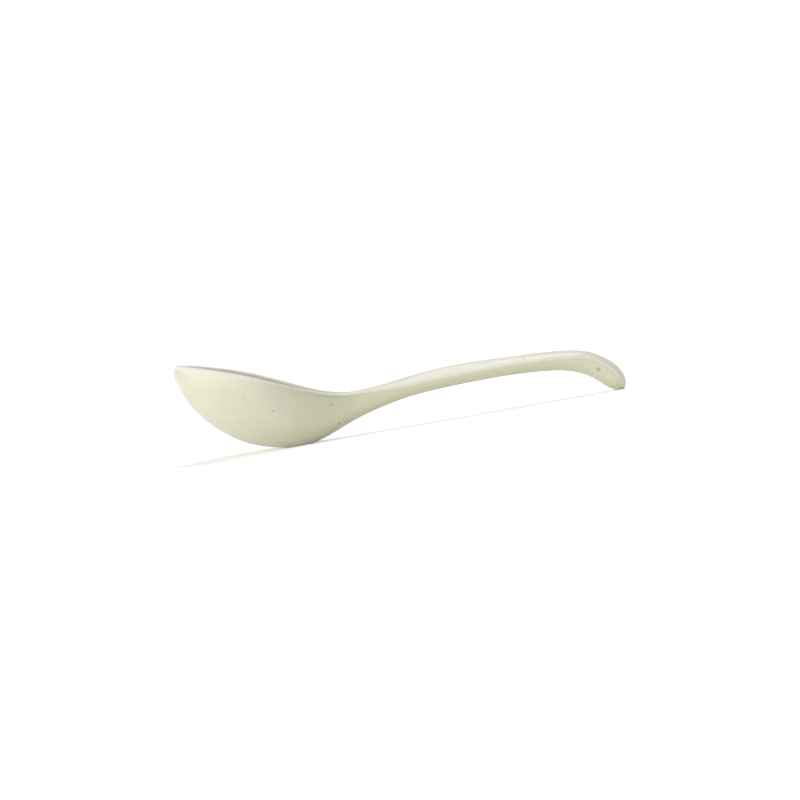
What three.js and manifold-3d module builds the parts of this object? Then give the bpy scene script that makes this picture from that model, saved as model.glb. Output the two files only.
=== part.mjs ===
// A glazed stoneware soup spoon: a deep bowl with a rounded tip, a crowned handle and a hooked end.
// It lies as it rests on a table, on its foot and on the tip of the hook.
// Millimetres. X runs along the spoon from the foot towards the hook, Y across it, and Z is up.
import * as THREE from "three";
import { mergeVertices } from "three/addons/utils/BufferGeometryUtils.js";
import Module from "manifold-3d";

// Bowl: the rim's outer edge runs from the tip over the widest place to the neck.
const TIP_REACH = 44.4;
const TIP_EDGE_HEIGHT = 38.3;
const TIP_ROUNDNESS = 13;
const BOWL_WIDTH = 48;
const WIDEST_SETBACK = 13;
const WIDEST_EDGE_HEIGHT = 29;
const RIM_FALL_DEGREES = 21.5;
const RIM_PULL = 18;
const LIP_THICKNESS = 3.2;
const LIP_LEAN_DEGREES = 14;

// Base: the lowest place of the underside and of the floor, and how flat the heel runs from each to the neck.
const LOWEST_REACH = 0.8;
const BASE_THICKNESS = 4.6;
const FLOOR_SETBACK = 3;
const HEEL_PULL = 10;
const INNER_HEEL_PULL = 12;
const NECK_EDGE_PULL = 12;

// Handle: its middle line leaves the neck, runs over a crest and curls down to the table.
const NECK_REACH = 27.5;
const NECK_HEIGHT = 12.4;
const NECK_RISE_DEGREES = 12;
const NECK_PULL = 15;
const CREST_REACH = 70;
const CREST_HEIGHT = 17;
const CREST_PULL = 14;
const BEND_REACH = 101;
const BEND_HEIGHT = 16.1;
const BEND_FALL_DEGREES = 4;
const BEND_PULL = 11;
const CURL_PULL = 16.5;
const HOOK_REACH = 131.4;
const HOOK_DEGREES = 58;
const HOOK_PULL = 14;
const END_ROUND = 8.5;

// Handle sections: distance along the middle line from the neck, thickness, width, and the crown's height.
const NECK_THICKNESS = 10;
const NECK_WIDTH = 13.4;
const NECK_CROWN = 0.8;
const ROOT_ALONG = 17;
const ROOT_THICKNESS = 8.5;
const ROOT_WIDTH = 12.2;
const ROOT_CROWN = 3.2;
const WAIST_ALONG = 37;
const WAIST_THICKNESS = 8.7;
const WAIST_WIDTH = 12;
const WAIST_CROWN = 4.1;
const SHANK_ALONG = 58;
const SHANK_THICKNESS = 8;
const SHANK_WIDTH = 12.6;
const SHANK_CROWN = 3.4;
const BEND_ALONG = 79;
const BEND_THICKNESS = 8.3;
const BEND_WIDTH = 14;
const BEND_CROWN = 3;
const CURL_ALONG = 95;
const CURL_THICKNESS = 9.8;
const CURL_WIDTH = 15;
const CURL_CROWN = 2.7;
const END_ALONG = 108;
const END_THICKNESS = 9;
const END_WIDTH = 15;
const END_CROWN = 3;
const SECTIONS = [
  { along: 0, thickness: NECK_THICKNESS, width: NECK_WIDTH, crown: NECK_CROWN },
  { along: ROOT_ALONG, thickness: ROOT_THICKNESS, width: ROOT_WIDTH, crown: ROOT_CROWN },
  { along: WAIST_ALONG, thickness: WAIST_THICKNESS, width: WAIST_WIDTH, crown: WAIST_CROWN },
  { along: SHANK_ALONG, thickness: SHANK_THICKNESS, width: SHANK_WIDTH, crown: SHANK_CROWN },
  { along: BEND_ALONG, thickness: BEND_THICKNESS, width: BEND_WIDTH, crown: BEND_CROWN },
  { along: CURL_ALONG, thickness: CURL_THICKNESS, width: CURL_WIDTH, crown: CURL_CROWN },
  { along: END_ALONG, thickness: END_THICKNESS, width: END_WIDTH, crown: END_CROWN },
];

// Edges: the bowl's lip turns right over, and past the neck it opens into the arris beside the crown.
const ARRIS_RADIUS = 1.2;
const ARRIS_TURN_DEGREES = 48;
const LIP_TURN_DEGREES = 180;
const LIP_ENDS_AT = 0;
const ARRIS_STARTS_AT = 36;

// Fullness of the ribs at the tip, the widest place and the handle, as shares of a rib's own chord:
// how far it runs flat from the underside, upright below the edge and inside the lip, and flat at the top.
const TIP_RIB = { belly: 0.55, side: 0.16, wall: 0.18, floor: 0.5 };
const WIDEST_RIB = { belly: 0.46, side: 0.3, wall: 0.3, floor: 0.42 };
const HANDLE_RIB = { belly: 0.46, side: 0.36, wall: 0.28, floor: 0.4 };

// Layers: glaze over fired clay, the slip joint in the neck, and the bare spots ground flat to stand on.
const GLAZE_THICKNESS = 0.5;
const LAYER_GAP = 0.3;
const JOINT_REACH = 33;
const SLIP_THICKNESS = 0.8;
const GRIND = 0.4;
const FOOT_LENGTH = 11.6;
const FOOT_WIDTH = 9;
const SPOT_LENGTH = 3.4;
const SPOT_WIDTH = 5;
const PAD_HEIGHT = 2.4;

// Facets: ribs along the bowl, the shank and the rounded end, and points along the parts of one rib.
const BOWL_RIBS = 20;
const SHANK_RIBS = 21;
const END_RIBS = 5;
const UNDER_POINTS = 8;
const LIP_POINTS = 4;
const UPPER_POINTS = 8;
const OVAL_POINTS = 14;

// Places in the rib order, as shares of the way from the tip to the neck.
const WIDEST_SHARE = 0.5;
const LEAN_EASES_FROM = 0.45;
const SQUARE_UNTIL = 0.8;

// Fineness of the search for the hook's lowest place, of small steps along a line, and of welded corners.
const HOOK_FROM = 0.8;
const HOOK_STEPS = 100;
const HOOK_PASSES = 8;
const STEP = 1e-3;
const WELD = 1e-4;
const FAR = 400;

// Finishes: bare fired clay, the paler-burning slip, and satin cream glaze.
const CLAY = { color: 0xd8cbb2, roughness: 0.85, metalness: 0 };
const SLIP = { color: 0xcdbfa4, roughness: 0.9, metalness: 0 };
const GLAZE = { color: 0xeae8d0, roughness: 0.25, metalness: 0 };

const wasm = await Module();
wasm.setup();

const point = (x, y, z) => new THREE.Vector3(x, y, z);
const bezier = (a, b, c, d) => new THREE.CubicBezierCurve3(a, b, c, d);
const radians = THREE.MathUtils.degToRad;
const slope = (degrees) => point(Math.cos(radians(degrees)), 0, Math.sin(radians(degrees)));
const mirror = (p) => point(p.x, -p.y, p.z);
const ACROSS = point(0, 1, 0);

// The handle's middle line for a given height of the hook's end.
function middleLine(endHeight) {
  const stops = [
    { place: point(NECK_REACH, 0, NECK_HEIGHT), degrees: NECK_RISE_DEGREES, after: NECK_PULL },
    { place: point(CREST_REACH, 0, CREST_HEIGHT), degrees: 0, before: CREST_PULL, after: BEND_PULL },
    {
      place: point(BEND_REACH, 0, BEND_HEIGHT),
      degrees: -BEND_FALL_DEGREES,
      before: BEND_PULL,
      after: CURL_PULL,
    },
    { place: point(HOOK_REACH, 0, endHeight), degrees: -HOOK_DEGREES, before: HOOK_PULL },
  ];
  const path = new THREE.CurvePath();
  for (let i = 0; i + 1 < stops.length; i++) {
    const [from, to] = [stops[i], stops[i + 1]];
    const handleOut = from.place.clone().addScaledVector(slope(from.degrees), from.after);
    const handleIn = to.place.clone().addScaledVector(slope(to.degrees), -to.before);
    path.add(bezier(from.place, handleOut, handleIn, to.place));
  }
  return path;
}

// One size of the handle's section as a smooth function of the distance along the middle line.
function sectionSize(name) {
  const places = SECTIONS.map((section) => section.along);
  const sizes = SECTIONS.map((section) => section[name]);
  const curve = new THREE.CubicInterpolant(places, sizes, 1);
  return (along) => curve.evaluate(Math.min(along, places.at(-1)))[0];
}
const thicknessAt = sectionSize("thickness");
const widthAt = sectionSize("width");
const crownAt = sectionSize("crown");

// Share of the full section that is left where the end rounds off.
function endShare(left) {
  const into = THREE.MathUtils.clamp(1 - left / END_ROUND, 0, 1);
  return Math.sqrt(Math.max(0, 1 - into * into));
}

// The handle's half section at a share of the middle line: underside, arris edge and top.
function handleStation(path, share) {
  const length = path.getLength();
  const along = share * length;
  const heading = path.getTangent(share);
  const up = point(-heading.z, 0, heading.x);
  const middle = path.getPoint(share);
  const round = endShare(length - along);
  const half = (thicknessAt(along) / 2) * round;
  const arris = half - crownAt(along) * round;
  return {
    under: middle.clone().addScaledVector(up, -half),
    edge: middle.clone().addScaledVector(up, arris).addScaledVector(ACROSS, (-widthAt(along) / 2) * round),
    top: middle.clone().addScaledVector(up, half),
    up,
    inward: ACROSS.clone(),
    leaveUnder: ACROSS.clone().negate(),
    leaveTop: ACROSS.clone().negate(),
    toWidest: 1,
    round,
  };
}

// The hook's end is lowered until its underside, before grinding, is just below the table.
function lowestUnder(path) {
  const shares = Array.from({ length: HOOK_STEPS + 1 }, (_, i) =>
    THREE.MathUtils.lerp(HOOK_FROM, 1, i / HOOK_STEPS),
  );
  const unders = shares.map((share) => handleStation(path, share).under);
  return unders.reduce((low, place) => (place.z < low.z ? place : low));
}
let spine = middleLine(0);
for (let pass = 0; pass < HOOK_PASSES; pass++) {
  const end = spine.getPoint(1).z;
  spine = middleLine(end - lowestUnder(spine).z - GRIND);
}
const bearing = lowestUnder(spine);

// How the three lines of the handle leave the neck, for the bowl's lines to run into them.
const neckStation = handleStation(spine, 0);
const nextStation = handleStation(spine, STEP);
const perStep = 1 / (STEP * spine.getLength());
function neckHeading(name) {
  return nextStation[name].clone().sub(neckStation[name]).multiplyScalar(perStep);
}

// The rim's outer edge on the near side, from the tip to the widest place and on to the neck.
const rimSlope = slope(-RIM_FALL_DEGREES).multiplyScalar(RIM_PULL);
const tip = point(-TIP_REACH, 0, TIP_EDGE_HEIGHT);
const widest = point(-WIDEST_SETBACK, -BOWL_WIDTH / 2, WIDEST_EDGE_HEIGHT);
const rimFront = bezier(
  tip,
  tip.clone().add(point(0, -TIP_ROUNDNESS, 0)),
  widest.clone().sub(rimSlope),
  widest,
);
const rimBack = bezier(
  widest,
  widest.clone().add(rimSlope),
  neckStation.edge.clone().addScaledVector(neckHeading("edge"), -NECK_EDGE_PULL),
  neckStation.edge,
);
function rimEdge(share) {
  if (share < 0) return mirror(rimEdge(-share));
  if (share <= WIDEST_SHARE) return rimFront.getPoint(share / WIDEST_SHARE);
  return rimBack.getPoint((share - WIDEST_SHARE) / (1 - WIDEST_SHARE));
}

// The middle of the underside and of the inside: one lowest place for the front ribs, then the heel.
function heelLine(start, name, pull) {
  const end = neckStation[name];
  return bezier(
    start,
    start.clone().add(point(pull, 0, 0)),
    end.clone().addScaledVector(neckHeading(name), -NECK_EDGE_PULL),
    end,
  );
}
const heelUnder = heelLine(point(LOWEST_REACH, 0, -GRIND), "under", HEEL_PULL);
const heelInside = heelLine(point(-FLOOR_SETBACK, 0, BASE_THICKNESS), "top", INNER_HEEL_PULL);

// Ribs set off along the heel slowly, so that no crease runs up the wall from the lowest place.
function heelShare(share) {
  const into = Math.max(0, share - WIDEST_SHARE) / (1 - WIDEST_SHARE);
  return into * into * (2 - into);
}

// A rib leaves the middle towards the rim, within the surface that the heel runs in.
function leaving(heel, place, edge, settle) {
  const start = heel.getPoint(place);
  const tangent = heel.getTangent(place);
  const aim = point(edge.x - start.x, edge.y - start.y, 0).normalize();
  aim.lerp(ACROSS.clone().negate(), settle).normalize();
  return aim.setZ((aim.x * tangent.z) / tangent.x);
}

// The bowl's half section at a share of the way from the tip to the neck.
function bowlStation(share) {
  const edge = rimEdge(share);
  const along = rimEdge(share + STEP).sub(rimEdge(share - STEP));
  const square = point(-along.y, along.x, 0).normalize();
  const settle = THREE.MathUtils.smoothstep(share, SQUARE_UNTIL, 1);
  const lean = THREE.MathUtils.lerp(
    radians(LIP_LEAN_DEGREES),
    Math.atan2(neckStation.up.x, neckStation.up.z),
    THREE.MathUtils.smoothstep(share, LEAN_EASES_FROM, 1),
  );
  const place = heelShare(share);
  return {
    under: heelUnder.getPoint(place),
    edge,
    top: heelInside.getPoint(place),
    up: point(Math.sin(lean), 0, Math.cos(lean)),
    inward: square.lerp(ACROSS, settle).normalize(),
    leaveUnder: leaving(heelUnder, place, edge, settle),
    leaveTop: leaving(heelInside, place, edge, settle),
    toWidest: THREE.MathUtils.smoothstep(share, 0, WIDEST_SHARE),
    round: 1,
  };
}

// One rib: up the outside from the underside to the edge, over the lip or arris, and on to the top's middle.
function ribPoints(station) {
  const { under, edge, top, up, inward, leaveUnder, leaveTop, toWidest, round } = station;
  const blend = THREE.MathUtils.smoothstep(edge.x, LIP_ENDS_AT, ARRIS_STARTS_AT);
  const mix = (bowl, handle) => THREE.MathUtils.lerp(bowl, handle, blend);
  const turn = radians(mix(LIP_TURN_DEGREES, ARRIS_TURN_DEGREES));
  const radius = mix(LIP_THICKNESS / 2, ARRIS_RADIUS) * round;
  const fullness = (name) =>
    mix(THREE.MathUtils.lerp(TIP_RIB[name], WIDEST_RIB[name], toWidest), HANDLE_RIB[name]);
  const chord = edge.distanceTo(under);
  const outside = bezier(
    under,
    under.clone().addScaledVector(leaveUnder, fullness("belly") * chord),
    edge.clone().addScaledVector(up, -fullness("side") * chord),
    edge,
  );
  const over = (angle) =>
    edge
      .clone()
      .addScaledVector(inward, radius * (1 - Math.cos(angle)))
      .addScaledVector(up, radius * Math.sin(angle));
  const inner = over(turn);
  const heading = inward.clone().multiplyScalar(Math.sin(turn)).addScaledVector(up, Math.cos(turn));
  const reach = inner.distanceTo(top);
  const upper = bezier(
    inner,
    inner.clone().addScaledVector(heading, fullness("wall") * reach),
    top.clone().addScaledVector(leaveTop, fullness("floor") * reach),
    top,
  );
  const lip = Array.from({ length: LIP_POINTS - 1 }, (_, i) => over((turn * (i + 1)) / LIP_POINTS));
  return [...outside.getPoints(UNDER_POINTS), ...lip, ...upper.getPoints(UPPER_POINTS)];
}

// Ribs from the tip of the bowl to the end of the hook, close together where the end rounds off.
function allRibs() {
  const ribs = [];
  for (let i = 0; i < BOWL_RIBS; i++) ribs.push(ribPoints(bowlStation(i / BOWL_RIBS)));
  const roundFrom = 1 - END_ROUND / spine.getLength();
  for (let i = 0; i < SHANK_RIBS; i++) {
    ribs.push(ribPoints(handleStation(spine, (roundFrom * i) / SHANK_RIBS)));
  }
  for (let i = 0; i <= END_RIBS; i++) {
    const share = roundFrom + (1 - roundFrom) * Math.sin((i / END_RIBS) * (Math.PI / 2));
    ribs.push(ribPoints(handleStation(spine, share)));
  }
  return ribs;
}

// The spoon's whole outer surface, both halves.
function skinGeometry() {
  const ribs = allRibs();
  const corners = [];
  const quad = (a, b, c, d) => corners.push(a, b, c, a, c, d);
  for (let i = 0; i + 1 < ribs.length; i++) {
    const [near, next] = [ribs[i], ribs[i + 1]];
    for (let j = 0; j + 1 < near.length; j++) {
      const side = [near[j], next[j], next[j + 1], near[j + 1]];
      quad(...side);
      quad(...side.map(mirror).reverse());
    }
  }
  return closedGeometry(new THREE.BufferGeometry().setFromPoints(corners));
}

// Merges shared corners and drops the triangles that fold to nothing at seams and at the end.
function closedGeometry(geometry) {
  const merged = mergeVertices(geometry, WELD);
  const index = merged.index.array;
  const kept = [];
  for (let i = 0; i < index.length; i += 3) {
    const [a, b, c] = index.slice(i, i + 3);
    if (a !== b && b !== c && c !== a) kept.push(a, b, c);
  }
  return merged.setIndex(kept);
}

// The same surface moved inwards by a depth, along its own normals.
function insetGeometry(skin, depth) {
  const inset = skin.clone();
  inset.computeVertexNormals();
  const { position, normal } = inset.attributes;
  for (let i = 0; i < position.count; i++) {
    const place = point().fromBufferAttribute(position, i);
    place.addScaledVector(point().fromBufferAttribute(normal, i), -depth);
    position.setXYZ(i, place.x, place.y, place.z);
  }
  inset.deleteAttribute("normal");
  return inset;
}

function solid(geometry) {
  return new wasm.Manifold(
    new wasm.Mesh({
      numProp: 3,
      vertProperties: new Float32Array(geometry.attributes.position.array),
      triVerts: new Uint32Array(geometry.index.array),
    }),
  );
}

function plainSolid(geometry) {
  geometry.deleteAttribute("normal");
  geometry.deleteAttribute("uv");
  return solid(closedGeometry(geometry));
}

// An upright oval block round a place, from one height to another.
function ovalBlock(length, width, x, bottom, height) {
  const outline = new THREE.Shape().absellipse(0, 0, length / 2, width / 2, 0, 2 * Math.PI);
  const geometry = new THREE.ExtrudeGeometry(outline, {
    depth: height,
    bevelEnabled: false,
    curveSegments: OVAL_POINTS,
  });
  return plainSolid(geometry.translate(x, 0, bottom));
}

// Everything between two planes across the spoon.
function slab(from, to) {
  return plainSolid(new THREE.BoxGeometry(to - from, FAR, FAR).translate((from + to) / 2, 0, 0));
}

const skin = skinGeometry();
const table = plainSolid(new THREE.BoxGeometry(FAR, FAR, FAR).translate(0, 0, -FAR / 2));
const outer = solid(skin).subtract(table);
const glazeBack = solid(insetGeometry(skin, GLAZE_THICKNESS));
const claySkin = solid(insetGeometry(skin, GLAZE_THICKNESS + LAYER_GAP));

// The bare foot and the bare spot under the hook stand through openings in the glaze.
function barePad(length, width, x) {
  const room = 2 * LAYER_GAP;
  return {
    pad: ovalBlock(length, width, x, 0, PAD_HEIGHT),
    opening: ovalBlock(length + room, width + room, x, -PAD_HEIGHT, 2 * PAD_HEIGHT),
  };
}
const foot = barePad(FOOT_LENGTH, FOOT_WIDTH, 0);
const spot = barePad(SPOT_LENGTH, SPOT_WIDTH, bearing.x);
const glaze = outer.subtract(glazeBack).subtract(foot.opening).subtract(spot.opening);
const clay = claySkin.add(foot.pad).add(spot.pad);

// The joint: the bowl's neck, the slip and the handle's root meet across one plane.
const slipStart = JOINT_REACH - SLIP_THICKNESS / 2;
const slipEnd = JOINT_REACH + SLIP_THICKNESS / 2;
const bowl = clay.intersect(slab(-FAR, slipStart - LAYER_GAP));
const slip = clay.intersect(slab(slipStart, slipEnd));
const handle = clay.intersect(slab(slipEnd + LAYER_GAP, FAR));

function piece(name, made, finish) {
  const mesh = made.getMesh();
  const geometry = new THREE.BufferGeometry();
  geometry.setAttribute("position", new THREE.BufferAttribute(new Float32Array(mesh.vertProperties), 3));
  geometry.setIndex(new THREE.BufferAttribute(new Uint32Array(mesh.triVerts), 1));
  const part = new THREE.Mesh(geometry, new THREE.MeshStandardMaterial(finish));
  part.name = name;
  return part;
}

const spoon = new THREE.Group();
spoon.add(
  piece("bowl", bowl, CLAY),
  piece("handle", handle, CLAY),
  piece("luting_slip", slip, SLIP),
  piece("glaze_coat", glaze, GLAZE),
);

export default spoon;
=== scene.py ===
# Looks of a glazed stoneware soup spoon: a cream glaze skin over the solids, with bare clay where it stands.
import math

import bmesh
import bpy
import numpy as np
from mathutils import Matrix, Vector, noise
from mathutils.bvhtree import BVHTree


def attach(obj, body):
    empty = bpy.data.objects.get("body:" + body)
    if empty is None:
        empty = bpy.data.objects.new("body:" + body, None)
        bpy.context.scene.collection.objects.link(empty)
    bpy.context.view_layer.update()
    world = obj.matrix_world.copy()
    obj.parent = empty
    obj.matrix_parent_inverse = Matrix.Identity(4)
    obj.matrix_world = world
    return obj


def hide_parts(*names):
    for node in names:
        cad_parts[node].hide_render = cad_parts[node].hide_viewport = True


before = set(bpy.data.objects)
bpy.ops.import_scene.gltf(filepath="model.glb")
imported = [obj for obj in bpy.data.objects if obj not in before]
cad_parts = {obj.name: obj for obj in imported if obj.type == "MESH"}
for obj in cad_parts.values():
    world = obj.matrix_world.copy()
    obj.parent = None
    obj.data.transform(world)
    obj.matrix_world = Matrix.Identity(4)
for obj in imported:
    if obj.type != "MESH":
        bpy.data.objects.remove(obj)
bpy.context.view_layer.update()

# Sizes in millimetres, as in the solids.
MM = 0.001
TIP_REACH, TIP_EDGE_HEIGHT, TIP_ROUNDNESS = 44.4, 38.3, 13.0
BOWL_WIDTH, WIDEST_SETBACK, WIDEST_EDGE_HEIGHT = 48.0, 13.0, 29.0
RIM_FALL, RIM_PULL = math.radians(21.5), 18.0
LIP_THICKNESS, LIP_LEAN = 3.2, math.radians(14.0)
LOWEST_REACH, BASE_THICKNESS, FLOOR_SETBACK = 0.8, 4.6, 3.0
HEEL_PULL, INNER_HEEL_PULL, NECK_EDGE_PULL = 10.0, 12.0, 12.0
# Stops of the handle's middle line: x, z, slope in degrees, pull before, pull after.
HANDLE_STOPS = (
    (27.5, 12.4, 12.0, 0.0, 15.0),
    (70.0, 17.0, 0.0, 14.0, 11.0),
    (101.0, 16.1, -4.0, 11.0, 16.5),
    (131.4, 0.0, -58.0, 14.0, 0.0),
)
# Sections along it: distance from the neck, thickness, width, crown height.
SECTIONS = (
    (0.0, 10.0, 13.4, 0.8),
    (17.0, 8.5, 12.2, 3.2),
    (37.0, 8.7, 12.0, 4.1),
    (58.0, 8.0, 12.6, 3.4),
    (79.0, 8.3, 14.0, 3.0),
    (95.0, 9.8, 15.0, 2.7),
    (108.0, 9.0, 15.0, 3.0),
)
END_ROUND = 8.5
ARRIS_RADIUS, ARRIS_TURN, LIP_TURN = 1.2, math.radians(48.0), math.pi
LIP_ENDS_AT, ARRIS_STARTS_AT = 0.0, 36.0
# Rib fullness: belly, side, wall, floor.
TIP_RIB = np.array((0.55, 0.16, 0.18, 0.5))
WIDEST_RIB = np.array((0.46, 0.3, 0.3, 0.42))
HANDLE_RIB = np.array((0.46, 0.36, 0.28, 0.4))
GRIND, LAYER_GAP = 0.4, 0.3
FOOT_LENGTH, FOOT_WIDTH = 11.6, 9.0
SPOT_LENGTH, SPOT_WIDTH = 3.4, 5.0
WIDEST_SHARE, LEAN_EASES_FROM, SQUARE_UNTIL = 0.5, 0.45, 0.8

# How finely curves are tried out, and the small steps that headings are measured over.
TRIAL_POINTS, HOOK_TRIAL_POINTS = 401, 801
HOOK_FROM, HOOK_POINTS, SETTLING_ROUNDS = 0.8, 101, 8
NECK_STEP, SHARE_STEP = 0.1, 1e-3

ACROSS = np.array((0.0, 1.0, 0.0))


def point(x, y, z):
    return np.array((x, y, z), float)


def unit(v):
    return v / np.linalg.norm(v)


def lerp(a, b, t):
    return a + (b - a) * t


def smooth(x, low, high):
    t = min(1.0, max(0.0, (x - low) / (high - low)))
    return t * t * (3 - 2 * t)


def slope(angle):
    return point(math.cos(angle), 0, math.sin(angle))


def bezier(a, b, c, d, t):
    t = np.asarray(t, float)[..., None]
    s = 1 - t
    return s**3 * a + 3 * s * s * t * b + 3 * s * t * t * c + t**3 * d


def bezier_heading(a, b, c, d, t):
    s = 1 - t
    return unit(s * s * (b - a) + 2 * s * t * (c - b) + t * t * (d - c))


# The handle's middle line, measured along its length.
class Spine:
    def __init__(self, end_height):
        self.runs, self.tables, self.starts = [], [], [0.0]
        shares = np.linspace(0, 1, TRIAL_POINTS)
        for here, there in zip(HANDLE_STOPS, HANDLE_STOPS[1:]):
            a, d = point(here[0], 0, here[1]), point(there[0], 0, there[1])
            if there is HANDLE_STOPS[-1]:
                d[2] = end_height
            b = a + slope(math.radians(here[2])) * here[4]
            c = d - slope(math.radians(there[2])) * there[3]
            line = bezier(a, b, c, d, shares)
            lengths = np.concatenate(([0], np.cumsum(np.linalg.norm(np.diff(line, axis=0), axis=1))))
            self.runs.append((a, b, c, d))
            self.tables.append((lengths, shares))
            self.starts.append(self.starts[-1] + lengths[-1])
        self.length = self.starts[-1]

    def at(self, along):
        i = min(int(np.searchsorted(self.starts, along, "right")) - 1, len(self.runs) - 1)
        t = float(np.interp(along - self.starts[i], *self.tables[i]))
        return bezier(*self.runs[i], t), bezier_heading(*self.runs[i], t)


# A size along the handle: a smooth curve through the sections.
def section_curve(column):
    xs = np.array([row[0] for row in SECTIONS])
    ys = np.array([row[column] for row in SECTIONS])
    secants = np.diff(ys) / np.diff(xs)
    slopes = np.concatenate((secants[:1], (secants[:-1] + secants[1:]) / 2, secants[-1:]))

    def at(along):
        x = min(max(along, xs[0]), xs[-1])
        i = min(int(np.searchsorted(xs, x, "right")) - 1, len(xs) - 2)
        step = xs[i + 1] - xs[i]
        t = (x - xs[i]) / step
        keep, leave = (1 + 2 * t) * (1 - t) ** 2, t * (1 - t) ** 2
        reach, arrive = t * t * (3 - 2 * t), t * t * (t - 1)
        return keep * ys[i] + leave * step * slopes[i] + reach * ys[i + 1] + arrive * step * slopes[i + 1]

    return at


thickness_at, width_at, crown_at = (section_curve(column) for column in (1, 2, 3))


# A station holds what one rib is drawn from: its ends and edge, its directions and its rounding.
def handle_station(spine, along):
    middle, heading = spine.at(along)
    up = point(-heading[2], 0, heading[0])
    into = min(1.0, max(0.0, 1 - (spine.length - along) / END_ROUND))
    rounding = math.sqrt(max(0.0, 1 - into * into))
    half = thickness_at(along) / 2 * rounding
    arris = half - crown_at(along) * rounding
    return {
        "under": middle - up * half,
        "edge": middle + up * arris - ACROSS * (width_at(along) / 2 * rounding),
        "top": middle + up * half,
        "up": up,
        "inward": ACROSS,
        "leave_under": -ACROSS,
        "leave_top": -ACROSS,
        "to_widest": 1.0,
        "rounding": rounding,
    }


def lowest_under(spine):
    places = np.linspace(HOOK_FROM, 1, HOOK_POINTS) * spine.length
    unders = [handle_station(spine, along)["under"] for along in places]
    return min(unders, key=lambda p: p[2])


# The hook's end is moved until the spot under it lies as deep as the bowl before grinding.
spine = Spine(0.0)
for _ in range(SETTLING_ROUNDS):
    spine = Spine(spine.at(spine.length)[0][2] - lowest_under(spine)[2] - GRIND)
bearing = lowest_under(spine)

neck = handle_station(spine, 0.0)
after_neck = handle_station(spine, NECK_STEP)


def neck_heading(name):
    return (after_neck[name] - neck[name]) / NECK_STEP


# The rim's outer edge and the two heel lines of the bowl.
rim_slope = slope(-RIM_FALL) * RIM_PULL
tip = point(-TIP_REACH, 0, TIP_EDGE_HEIGHT)
widest = point(-WIDEST_SETBACK, -BOWL_WIDTH / 2, WIDEST_EDGE_HEIGHT)
RIM_FRONT = (tip, tip - ACROSS * TIP_ROUNDNESS, widest - rim_slope, widest)
RIM_BACK = (widest, widest + rim_slope, neck["edge"] - neck_heading("edge") * NECK_EDGE_PULL, neck["edge"])


def heel_line(start, name, pull):
    return (start, start + point(pull, 0, 0), neck[name] - neck_heading(name) * NECK_EDGE_PULL, neck[name])


HEEL_UNDER = heel_line(point(LOWEST_REACH, 0, -GRIND), "under", HEEL_PULL)
HEEL_INSIDE = heel_line(point(-FLOOR_SETBACK, 0, BASE_THICKNESS), "top", INNER_HEEL_PULL)


def rim_edge(share):
    if share < 0:
        return rim_edge(-share) * (1, -1, 1)
    if share <= WIDEST_SHARE:
        return bezier(*RIM_FRONT, share / WIDEST_SHARE)
    return bezier(*RIM_BACK, (share - WIDEST_SHARE) / (1 - WIDEST_SHARE))


def leaving(heel, place, edge, settle):
    start, heading = bezier(*heel, place), bezier_heading(*heel, place)
    aim = unit((edge - start) * (1, 1, 0))
    aim = unit(lerp(aim, -ACROSS, settle))
    aim[2] = aim[0] * heading[2] / heading[0]
    return aim


def bowl_station(share):
    edge = rim_edge(share)
    along = rim_edge(share + SHARE_STEP) - rim_edge(share - SHARE_STEP)
    square = unit(point(-along[1], along[0], 0))
    settle = smooth(share, SQUARE_UNTIL, 1)
    lean = lerp(LIP_LEAN, math.atan2(neck["up"][0], neck["up"][2]), smooth(share, LEAN_EASES_FROM, 1))
    into = max(0.0, share - WIDEST_SHARE) / (1 - WIDEST_SHARE)
    place = into * into * (2 - into)
    return {
        "under": bezier(*HEEL_UNDER, place),
        "edge": edge,
        "top": bezier(*HEEL_INSIDE, place),
        "up": point(math.sin(lean), 0, math.cos(lean)),
        "inward": unit(lerp(square, ACROSS, settle)),
        "leave_under": leaving(HEEL_UNDER, place, edge, settle),
        "leave_top": leaving(HEEL_INSIDE, place, edge, settle),
        "to_widest": smooth(share, 0, WIDEST_SHARE),
        "rounding": 1.0,
    }


# Openings in the glaze round the bare foot and the spot under the hook: middle, half length, half width.
FOOT_OVAL = (0.0, FOOT_LENGTH / 2 + LAYER_GAP, FOOT_WIDTH / 2 + LAYER_GAP)
SPOT_OVAL = (float(bearing[0]), SPOT_LENGTH / 2 + LAYER_GAP, SPOT_WIDTH / 2 + LAYER_GAP)


def outside_oval(place, oval):
    x, half_length, half_width = oval
    return ((place[..., 0] - x) / half_length) ** 2 + (place[..., 1] / half_width) ** 2 - 1


# Points of a rib below its edge, round it and above it.
UNDER_POINTS, LIP_POINTS, UPPER_POINTS = 52, 16, 46
# How strongly the points of the outside crowd towards the edge.
TO_EDGE = 1.5
# An opening cuts a rib whose first point lies below this value, inside the oval.
INSIDE = -1e-9


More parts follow.
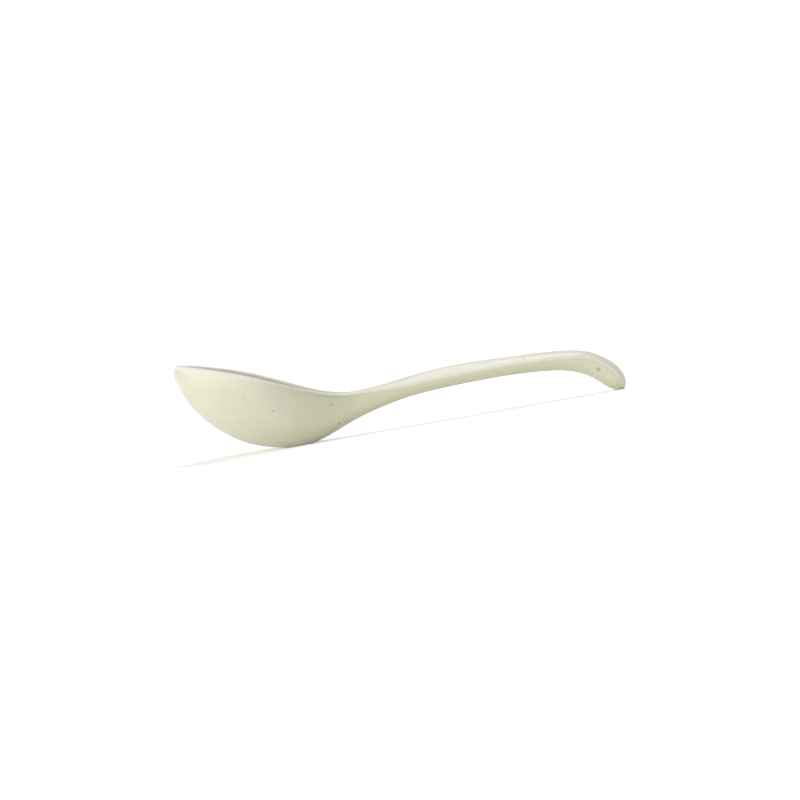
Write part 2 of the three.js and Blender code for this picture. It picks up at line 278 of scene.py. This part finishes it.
# One rib, from the middle of the underside over the edge to the middle of the top, less any opening.
def rib(station):
    under, edge, top, up = (station[name] for name in ("under", "edge", "top", "up"))
    inward, rounding = station["inward"], station["rounding"]
    blend = smooth(edge[0], LIP_ENDS_AT, ARRIS_STARTS_AT)
    turn = lerp(LIP_TURN, ARRIS_TURN, blend)
    radius = lerp(LIP_THICKNESS / 2, ARRIS_RADIUS, blend) * rounding
    belly, side, wall, floor = lerp(lerp(TIP_RIB, WIDEST_RIB, station["to_widest"]), HANDLE_RIB, blend)
    chord = np.linalg.norm(edge - under)

    def outside(t):
        flat = under + station["leave_under"] * belly * chord
        return bezier(under, flat, edge - up * side * chord, edge, t)

    def lip(t):
        angle = np.asarray(t)[..., None] * turn
        return edge + inward * radius * (1 - np.cos(angle)) + up * radius * np.sin(angle)

    inner = lip(1.0)
    heading = inward * math.sin(turn) + up * math.cos(turn)
    reach = np.linalg.norm(inner - top)

    def upper(t):
        flat = top + station["leave_top"] * floor * reach
        return bezier(inner, inner + heading * wall * reach, flat, top, t)

    parts = (outside, lip, upper)
    shares = np.linspace(0, 1, TRIAL_POINTS)
    trial = np.vstack([part(shares) for part in parts])
    start = 0.0
    for oval in (FOOT_OVAL, SPOT_OVAL):
        value = outside_oval(trial, oval)
        if value[0] < INSIDE:
            clear = np.flatnonzero(value > 0)
            if not len(clear):
                return None
            i = int(clear[0])
            part, step = divmod(i, len(shares))
            back = value[i] / (value[i] - value[i - 1]) if step else 0.0
            start = part + (step - back) / (len(shares) - 1)
    points = []
    for k, (part, count) in enumerate(zip(parts, (UNDER_POINTS, LIP_POINTS, UPPER_POINTS))):
        if start >= k + 1:
            gone = parts[int(start)](start % 1)
            points.append(np.repeat(gone[None], count, axis=0))
        else:
            begin = max(0.0, start - k)
            places = np.linspace(0, 1, count + 1)[:-1]
            if part is outside:
                places = 1 - (1 - places) ** TO_EDGE
            points.append(part(begin + (1 - begin) * places))
    points.append(upper(1.0)[None])
    return np.vstack(points)


def bunched(low, high, count):
    return low + (high - low) * (1 - np.cos(np.linspace(0, math.pi, count))) / 2


# Rib places, both ends counted: tip to widest place, on to the end of the foot's opening, on to the neck.
TIP_RIBS, FOOT_RIBS, HEEL_RIBS = 64, 26, 40
# Rib places, both ends counted: neck to rounded end, on to the spot under the hook, across the spot.
SHANK_RIBS, ROUND_RIBS, SPOT_RIBS = 130, 18, 34
HEEL_TRIED_TO = 0.9


# Shares of the bowl, with ribs bunched where the heel leaves the foot's opening.
def bowl_shares():
    trial = np.linspace(WIDEST_SHARE, HEEL_TRIED_TO, TRIAL_POINTS)
    backs = [bowl_station(share)["under"][0] for share in trial]
    leaves = float(np.interp(FOOT_OVAL[0] + FOOT_OVAL[1], backs, trial))
    return np.concatenate((
        np.linspace(0, WIDEST_SHARE, TIP_RIBS)[:-1],
        WIDEST_SHARE + (leaves - WIDEST_SHARE) * np.sin(np.linspace(0, math.pi / 2, FOOT_RIBS))[:-1],
        np.linspace(leaves, 1, HEEL_RIBS)[:-1],
    ))


# Distances along the handle, with ribs bunched across the spot under the hook.
def handle_places():
    trial = np.linspace(spine.length - END_ROUND, spine.length, HOOK_TRIAL_POINTS)
    stations = [handle_station(spine, along) for along in trial]
    fronts = [station["under"][0] for station in stations]
    enters = float(np.interp(SPOT_OVAL[0] - SPOT_OVAL[1], fronts, trial))
    tops = [float(outside_oval(station["top"], SPOT_OVAL)) for station in stations]
    ends = trial[max(i for i, value in enumerate(tops) if value > 0)]
    return np.concatenate((
        np.linspace(0, spine.length - END_ROUND, SHANK_RIBS)[:-1],
        np.linspace(spine.length - END_ROUND, enters, ROUND_RIBS)[:-1],
        bunched(enters, ends, SPOT_RIBS),
    ))


# Every rib, from the tip of the bowl to the end of the hook.
ribs = [rib(bowl_station(share)) for share in bowl_shares()]
bowl_ribs = len(ribs)
ribs += [rib(handle_station(spine, along)) for along in handle_places()]
grid = np.array([r for r in ribs if r is not None])


# How far below the edge a point lies on its rib, and less than nothing above it.
def below_edge(i, j):
    away = np.linalg.norm(grid[i, j] - grid[i, UNDER_POINTS])
    return away if j <= UNDER_POINTS else -away


# Ribs, counted from the neck and back from the hook's end, over which the coat changes.
NECK_BLEND, HOOK_BLEND = (-14, 12), (-90, -40)
# How far below the edge the pale thin glaze fades, on the lip and on the arris, partly a painted highlight,
# and where flanks gather the pooled colour, partly painted shade.
LIP_THIN_HIGHLIGHT, ARRIS_THIN_HIGHLIGHT, FLANK_POOL_SHADE = (-0.4, 0.5), (0.0, 0.8), (0.3, 1.2)
LIP_FADE_POINTS, CROWN_THIN_HIGHLIGHT, HOOK_POOL_SHADE_LOSS = 4, 0.72, 0.6
# Shares of the bowl's ribs where the pool on its floor ends and where it is full.
POOL_ENDS, POOL_FULL = 1.0, 0.7


# Glaze runs thin over the lip, the arris and the crown, where its paler colour is partly a painted
# highlight, and gathers on the bowl's floor and the flanks, where on the flanks it is partly painted shade.
def glaze_depth(i, j):
    last = UNDER_POINTS + LIP_POINTS
    on_handle = smooth(i, bowl_ribs + NECK_BLEND[0], bowl_ribs + NECK_BLEND[1])
    if j > last:
        floor = (j - last) / UPPER_POINTS
        thin_and_highlight = max(1 - smooth(j - last, 0, LIP_FADE_POINTS), CROWN_THIN_HIGHLIGHT * on_handle)
        return thin_and_highlight, floor * floor * (1 - on_handle) * smooth(i / bowl_ribs, POOL_ENDS, POOL_FULL)
    below = below_edge(i, j)
    to_hook = smooth(i, len(grid) + HOOK_BLEND[0], len(grid) + HOOK_BLEND[1])
    low, high = (lerp(lip, arris, on_handle) for lip, arris in zip(LIP_THIN_HIGHLIGHT, ARRIS_THIN_HIGHLIGHT))
    thin_and_highlight = 1 - smooth(below, low, high)
    return thin_and_highlight, on_handle * smooth(below, *FLANK_POOL_SHADE) * (1 - HOOK_POOL_SHADE_LOSS * to_hook)


# Slow unevenness of a hand-finished surface, always inwards: wave lengths and depths.
UNEVEN = ((24.0, 0.14), (9.0, 0.04))
# How far the skin sinks into the solid's surface away from the openings, and the most a point may move.
SINK, DEEPEST = 0.08, 0.4


def uneven(place):
    total = -SINK
    for length, depth in UNEVEN:
        total -= depth * (0.5 - 0.5 * max(-1.0, min(1.0, noise.noise(place / length))))
    return total


# A shallow hollow under the lip, deepest at the saddle before the handle; its depth also darkens the glaze
# there as painted shade.
HOLLOW_DEPTH, HOLLOW_WIDTH = 0.2, 2.0
HOLLOW_STARTS, HOLLOW_STARTS_AT_SADDLE = -1.2, -0.5
# Places along the spoon where it deepens, runs out and moves down to its start at the saddle.
HOLLOW_DEEPENS, HOLLOW_RUNS_OUT, HOLLOW_MOVES = (-24, 12), (22, 40), (4, 20)


def hollow(i, j):
    edge = grid[i, UNDER_POINTS]
    along = smooth(edge[0], *HOLLOW_DEEPENS) * (1 - smooth(edge[0], *HOLLOW_RUNS_OUT))
    start = lerp(HOLLOW_STARTS, HOLLOW_STARTS_AT_SADDLE, smooth(edge[0], *HOLLOW_MOVES))
    down = below_edge(i, j) - start
    if along == 0 or not 0 < down < HOLLOW_WIDTH:
        return 0.0
    return -HOLLOW_DEPTH * along * math.sin(math.pi * down / HOLLOW_WIDTH) ** 2


# How far outside an opening the unevenness is full, in the oval's own measure, and the welding distance.
OPENING_MARGIN, WELD = 1.5, 2e-3


def clear_of_openings(place):
    value = min(float(outside_oval(np.array(place), oval)) for oval in (FOOT_OVAL, SPOT_OVAL))
    return smooth(value, 0.0, OPENING_MARGIN)


def build_skin():
    rows, columns = grid.shape[:2]
    skin = bmesh.new()
    thin_highlight_layer = skin.verts.layers.float.new("glaze_thin_and_highlight")
    pool_shade_layer = skin.verts.layers.float.new("glaze_pool_and_shade")
    hollow_layer = skin.verts.layers.float.new("hollow")
    sides = []
    for flip in (1, -1):
        side = [[skin.verts.new(p * (1, flip, 1)) for p in row] for row in grid]
        for i, row in enumerate(side):
            for j, vert in enumerate(row):
                vert[thin_highlight_layer], vert[pool_shade_layer] = glaze_depth(i, j)
                vert[hollow_layer] = hollow(i, j)
        sides.append(side)
    near, far = sides
    for i in range(rows - 1):
        for j in range(columns - 1):
            skin.faces.new((near[i][j], near[i + 1][j], near[i + 1][j + 1], near[i][j + 1]))
            skin.faces.new((far[i][j + 1], far[i + 1][j + 1], far[i + 1][j], far[i][j]))
    bmesh.ops.remove_doubles(skin, verts=skin.verts, dist=WELD)
    bmesh.ops.recalc_face_normals(skin, faces=skin.faces)
    skin.normal_update()
    moves = [
        vert.normal * max(-DEEPEST, uneven(vert.co) * clear_of_openings(vert.co) + vert[hollow_layer])
        for vert in skin.verts
    ]
    for vert, move in zip(skin.verts, moves):
        vert.co += move
    roll_edges(skin)
    bmesh.ops.scale(skin, vec=(MM, MM, MM), verts=skin.verts)
    mesh = bpy.data.meshes.new("glaze_skin")
    skin.to_mesh(mesh)
    skin.free()
    mesh.shade_smooth()
    return mesh


# The glaze ends round the bare spots in a small rolled edge that turns up to the clay: steps inwards and up.
EDGE_ROLL = ((0.05, 0.03), (0.09, 0.07), (0.06, 0.12), (0.0, 0.25))


# Its faces are made one by one in a fixed order, so that every run gives the same mesh.
def roll_edges(skin):
    loops = [edge.link_loops[0] for edge in skin.edges if edge.is_boundary]
    sides = [(loop.link_loop_next.vert, loop.vert) for loop in loops]
    for inwards, upwards in EDGE_ROLL:
        made = {}
        for vert in [vert for side in sides for vert in side]:
            if vert not in made:
                middle = min((FOOT_OVAL[0], SPOT_OVAL[0]), key=lambda x: abs(vert.co.x - x))
                aim = Vector((middle - vert.co.x, -vert.co.y, 0)).normalized()
                made[vert] = skin.verts.new(vert.co + (aim * inwards + Vector((0, 0, upwards))), vert)
        for a, b in sides:
            skin.faces.new((a, b, made[b], made[a]))
        sides = [(made[a], made[b]) for a, b in sides]


skin = bpy.data.objects.new("glaze_skin", build_skin())
bpy.context.scene.collection.objects.link(skin)
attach(skin, "root")
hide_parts("glaze_coat")


# Materials: a node tree that is fed with plain values or with other nodes' outputs.
class Nodes:
    def __init__(self, name):
        self.material = bpy.data.materials.new(name)
        self.material.use_nodes = True
        self.tree = self.material.node_tree
        self.shader = self.tree.nodes["Principled BSDF"]
        self.where = self.make("ShaderNodeTexCoord").outputs["Object"]

    def make(self, kind, values=(), **settings):
        node = self.tree.nodes.new(kind)
        for name, value in settings.items():
            setattr(node, name, value)
        for socket, value in dict(values).items():
            self.feed(value, node.inputs[socket])
        return node

    def feed(self, value, socket):
        if isinstance(value, bpy.types.NodeSocket):
            self.tree.links.new(value, socket)
        else:
            socket.default_value = value

    def noise(self, length, detail, rough=0.5):
        values = {"Vector": self.where, "Scale": 1 / (length * MM), "Detail": detail, "Roughness": rough}
        return self.make("ShaderNodeTexNoise", values).outputs["Fac"]

    def ramp(self, value, low, high, start=0.0, end=1.0):
        values = {"Value": value, "From Min": low, "From Max": high, "To Min": start, "To Max": end}
        return self.make("ShaderNodeMapRange", values, interpolation_type="SMOOTHSTEP").outputs["Result"]

    def math(self, operation, a, b):
        return self.make("ShaderNodeMath", {0: a, 1: b}, operation=operation).outputs[0]

    def mix(self, share, a, b):
        values = {"Factor": share, "A": a, "B": b}
        node = self.tree.nodes.new("ShaderNodeMix")
        node.data_type = "RGBA"
        sockets = {s.name: s for s in node.inputs if s.enabled and s.type in ("RGBA", "VALUE")}
        for name, value in values.items():
            self.feed(value, sockets[name])
        return next(s for s in node.outputs if s.type == "RGBA")

    def attribute(self, name):
        return self.make("ShaderNodeAttribute", attribute_name=name).outputs["Fac"]

    def bump(self, height, distance, strength):
        values = {"Height": height, "Distance": distance * MM, "Strength": strength}
        self.feed(self.make("ShaderNodeBump", values).outputs["Normal"], self.shader.inputs["Normal"])


# A colour given as it is seen on a screen, as the linear colour that shaders use.
def seen(red, green, blue):
    def linear(level):
        level /= 255
        return level / 12.92 if level <= 0.04045 else ((level + 0.055) / 1.055) ** 2.4

    return (linear(red), linear(green), linear(blue), 1.0)


# The palest cream is the colour of pale flecks and thin glaze, and also a painted highlight on the lip, the
# arris and the crown.
CREAM, CREAM_DEEP, CREAM_THIN_AND_HIGHLIGHT = seen(233, 230, 205), seen(226, 226, 197), seen(247, 244, 229)
# The pooled cream is partly painted shade on the handle's flanks, and the iron colour also serves as painted
# shade in the hollow under the lip.
POOLED_AND_SHADE, IRON_AND_SHADE, RUST = seen(229, 226, 193), seen(118, 112, 86), seen(140, 98, 70)
CLAY, CLAY_DARK = seen(214, 200, 172), seen(200, 184, 154)
SLIP, SLIP_DARK = seen(206, 192, 164), seen(190, 174, 146)

# Iron specks in the glaze of the near side: x and z, radius, how strongly they show, colour.
SPECKS = (
    ((-6.5, 16.0), 0.8, 0.32, RUST),
    ((15.5, 14.0), 1.15, 0.26, IRON_AND_SHADE),
    ((17.0, 6.0), 1.15, 0.38, IRON_AND_SHADE),
    ((62.0, 14.0), 0.95, 0.3, IRON_AND_SHADE),
    ((122.0, 9.5), 1.2, 0.5, RUST),
    ((-28.0, 10.5), 0.8, 0.24, IRON_AND_SHADE),
    ((-31.0, 34.5), 0.5, 0.24, IRON_AND_SHADE),
    ((32.5, 10.0), 0.7, 0.24, IRON_AND_SHADE),
    ((45.5, 12.0), 0.7, 0.28, IRON_AND_SHADE),
)
# Sparse specks all over, and the ragged outline of every speck.
SPECK_SPACING, SPECK_RADIUS, SPECK_STRENGTH = 8.5, 0.6, 0.3
RAGGED_LENGTH, RAGGED_DEPTH, SPECK_CORE = 0.9, 1.4, 0.15


def add_specks(n, colour):
    ragged = n.math("MULTIPLY", n.math("SUBTRACT", n.noise(RAGGED_LENGTH, 1.0), 0.5), RAGGED_DEPTH * MM)

    def spot(away, radius, strength):
        return n.ramp(n.math("ADD", away, ragged), SPECK_CORE * radius * MM, radius * MM, strength, 0.0)

    cells = n.make("ShaderNodeTexVoronoi", {"Vector": n.where, "Scale": 1 / (SPECK_SPACING * MM)})
    away = n.math("MULTIPLY", cells.outputs["Distance"], SPECK_SPACING * MM)
    colour = n.mix(spot(away, SPECK_RADIUS, SPECK_STRENGTH), colour, IRON_AND_SHADE)
    mesh = skin.data
    surface = BVHTree.FromPolygons([v.co for v in mesh.vertices], [p.vertices for p in mesh.polygons])
    for (x, z), radius, strength, tone in SPECKS:
        middle = surface.ray_cast(Vector((x * MM, -1, z * MM)), Vector((0, 1, 0)))[0]
        away = n.make("ShaderNodeVectorMath", {0: n.where, 1: middle}, operation="DISTANCE").outputs["Value"]
        colour = n.mix(spot(away, radius, strength), colour, tone)
    return colour


# Glaze: lengths of its broad and fine mottling, of its change of gloss and of its ripple.
MOTTLE, FLECK, GLOSS, RIPPLE = 26.0, 1.3, 7.0, 5.0
# Shares of pale flecks, of the pooled colour, and of the painted shade in the hollow under the lip.
FLECK_SHARE, POOL_SHADE_SHARE, HOLLOW_PAINTED_SHADE = 0.22, 0.8, 0.16
GLAZE_ROUGHNESS = (0.3, 0.4)
RIPPLE_DEPTH, RIPPLE_STRENGTH = 0.05, 0.2


def glaze_material():
    n = Nodes("satin_cream_glaze")
    colour = n.mix(n.ramp(n.noise(MOTTLE, 3.0), 0.35, 0.65), CREAM, CREAM_DEEP)
    colour = n.mix(n.ramp(n.noise(FLECK, 3.0, 0.6), 0.35, 0.75, 0.0, FLECK_SHARE), colour, CREAM_THIN_AND_HIGHLIGHT)
    # Pooled colour on the bowl's floor, and on the handle's flanks, where it is partly painted shade.
    colour = n.mix(n.math("MULTIPLY", n.attribute("glaze_pool_and_shade"), POOL_SHADE_SHARE), colour, POOLED_AND_SHADE)
    # Paler thin glaze on the lip, the arris and the crown, partly a painted highlight.
    colour = n.mix(n.attribute("glaze_thin_and_highlight"), colour, CREAM_THIN_AND_HIGHLIGHT)
    # Painted shade: the glaze darkens towards the iron colour in the hollow under the lip.
    colour = n.mix(n.ramp(n.attribute("hollow"), 0.0, -HOLLOW_DEPTH, 0.0, HOLLOW_PAINTED_SHADE), colour, IRON_AND_SHADE)
    colour = add_specks(n, colour)
    n.feed(colour, n.shader.inputs["Base Color"])
    n.feed(n.ramp(n.noise(GLOSS, 3.0), 0.3, 0.7, *GLAZE_ROUGHNESS), n.shader.inputs["Roughness"])
    n.bump(n.noise(RIPPLE, 0.0), RIPPLE_DEPTH, RIPPLE_STRENGTH)
    return n.material


# Clay: lengths of its mottling and its change of roughness, its share of dark grains, and its grains.
CLAY_MOTTLE, CLAY_PATCH, GRAIN_SHARE = 5.0, 1.0, 0.5
CLAY_ROUGHNESS = (0.8, 0.95)
GRAIN_DEPTH, GRAIN_STRENGTH = 0.12, 0.6
CLAY_GRAIN, SLIP_GRAIN = 0.5, 0.35


def clay_material(name, pale, dark, grain):
    n = Nodes(name)
    colour = n.mix(n.ramp(n.noise(CLAY_MOTTLE, 4.0, 0.6), 0.3, 0.7), pale, dark)
    colour = n.mix(n.ramp(n.noise(grain, 2.0), 0.6, 0.75, 0.0, GRAIN_SHARE), colour, IRON_AND_SHADE)
    n.feed(colour, n.shader.inputs["Base Color"])
    n.feed(n.ramp(n.noise(CLAY_PATCH, 2.0), 0.3, 0.7, *CLAY_ROUGHNESS), n.shader.inputs["Roughness"])
    n.bump(n.noise(grain, 4.0, 0.7), GRAIN_DEPTH, GRAIN_STRENGTH)
    return n.material


def dress(thing, material):
    thing.data.materials.clear()
    thing.data.materials.append(material)


dress(skin, glaze_material())
bisque = clay_material("bare_stoneware", CLAY, CLAY_DARK, CLAY_GRAIN)
for name in ("bowl", "handle"):
    dress(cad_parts[name], bisque)
dress(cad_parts["luting_slip"], clay_material("fired_slip", SLIP, SLIP_DARK, SLIP_GRAIN))

# Stage, in metres, with mottling in millimetres: a plain pale floor, a white surround and soft lamps.
WORLD_LEVEL, FLOOR_HALF, FLOOR_DROP = 0.24, 4.0, 0.05 * MM
FLOOR_PALE, FLOOR_DIM = seen(250, 250, 250), seen(247, 247, 247)
FLOOR_MOTTLE, FLOOR_ROUGHNESS = 400.0, 0.9
# How brightly the floor itself shows: distances from the foot, and its levels there.
GLOW_REACH, GLOW_LEVELS = (0.1, 0.4), (0.42, 1.0)
# Lamps: name, place, what it is turned to, width, height, power in watts.
MIDDLE = (0.04, 0, 0.015)
LAMPS = (
    ("key", (-0.97, -0.20, 0.24), MIDDLE, 0.5, 0.4, 2.6),
    ("front", (-0.40, -0.92, 0.085), MIDDLE, 1.0, 0.16, 3.0),
    ("glint", (-0.80, -0.58, 0.20), (-0.02, 0, 0.02), 0.26, 0.12, 0.8),
    ("edge", (0.20, -0.66, 0.72), (0.06, 0, 0.015), 0.3, 0.3, 0.55),
    ("top", (0.22, 0.18, 0.96), MIDDLE, 0.55, 0.55, 3.7),
)


# One for the rays that show the background: straight from the camera, mirrored or let through.
def background_rays(tree):
    path = tree.nodes.new("ShaderNodeLightPath")
    total = path.outputs["Is Camera Ray"]
    for name in ("Is Glossy Ray", "Is Transmission Ray"):
        either = tree.nodes.new("ShaderNodeMath")
        either.operation = "MAXIMUM"
        tree.links.new(total, either.inputs[0])
        tree.links.new(path.outputs[name], either.inputs[1])
        total = either.outputs[0]
    return total


# White where it is seen, and an even, weaker light on everything.
def make_world(level):
    world = bpy.data.worlds.new("studio")
    world.use_nodes = True
    tree = world.node_tree
    light = tree.nodes["Background"]
    light.inputs["Color"].default_value = (1, 1, 1, 1)
    strength = tree.nodes.new("ShaderNodeMapRange")
    strength.inputs["To Min"].default_value = level
    tree.links.new(background_rays(tree), strength.inputs["Value"])
    tree.links.new(strength.outputs["Result"], light.inputs["Strength"])
    bpy.context.scene.world = world


def make_floor(half):
    mesh = bpy.data.meshes.new("floor")
    corners = [(-half, -half, 0), (half, -half, 0), (half, half, 0), (-half, half, 0)]
    mesh.from_pydata(corners, [], [(0, 1, 2, 3)])
    floor = bpy.data.objects.new("floor", mesh)
    floor.location.z = -FLOOR_DROP
    bpy.context.scene.collection.objects.link(floor)
    n = Nodes("studio_floor")
    n.feed(n.mix(n.noise(FLOOR_MOTTLE, 2.0), FLOOR_PALE, FLOOR_DIM), n.shader.inputs["Base Color"])
    n.shader.inputs["Roughness"].default_value = FLOOR_ROUGHNESS
    n.shader.inputs["Specular IOR Level"].default_value = 0.0
    n.shader.inputs["Emission Color"].default_value = (1, 1, 1, 1)
    away = n.make("ShaderNodeVectorMath", {0: n.where}, operation="LENGTH").outputs["Value"]
    glow = n.ramp(away, *GLOW_REACH, *GLOW_LEVELS)
    shown = n.math("MULTIPLY", background_rays(n.tree), glow)
    n.feed(shown, n.shader.inputs["Emission Strength"])
    dress(floor, n.material)


def make_lamp(name, place, aim, width, height, power):
    lamp = bpy.data.lights.new(name, "AREA")
    lamp.shape, lamp.size, lamp.size_y, lamp.energy = "RECTANGLE", width, height, power
    thing = bpy.data.objects.new(name, lamp)
    thing.location = place
    thing.rotation_euler = (Vector(aim) - Vector(place)).to_track_quat("-Z", "Y").to_euler()
    bpy.context.scene.collection.objects.link(thing)


make_world(WORLD_LEVEL)
make_floor(FLOOR_HALF)
for settings in LAMPS:
    make_lamp(*settings)

# Camera: side-on, a little above level, and turned about its line of sight by the tilt in the photograph.
TILT, LOOK_DOWN, DISTANCE = math.radians(9.95), math.radians(2.0), 755 * MM
TARGET = Vector((42.5, 0, 10.9)) * MM
LENS, CLIP_START = 85, 0.01
right = Vector((math.cos(TILT), 0, -math.sin(TILT)))
upright = Vector((math.sin(TILT), 0, math.cos(TILT)))
look = Vector((0, 1, 0)) * math.cos(LOOK_DOWN) - upright * math.sin(LOOK_DOWN)
above = right.cross(look)
camera = bpy.data.objects.new("camera", bpy.data.cameras.new("camera"))
camera.data.lens = LENS
camera.data.clip_start = CLIP_START
axes = Matrix((right, above, -look)).transposed()
camera.matrix_world = Matrix.Translation(TARGET - look * DISTANCE) @ axes.to_4x4()
bpy.context.scene.collection.objects.link(camera)
bpy.context.scene.camera = camera
bpy.context.scene.view_settings.view_transform = "Standard"
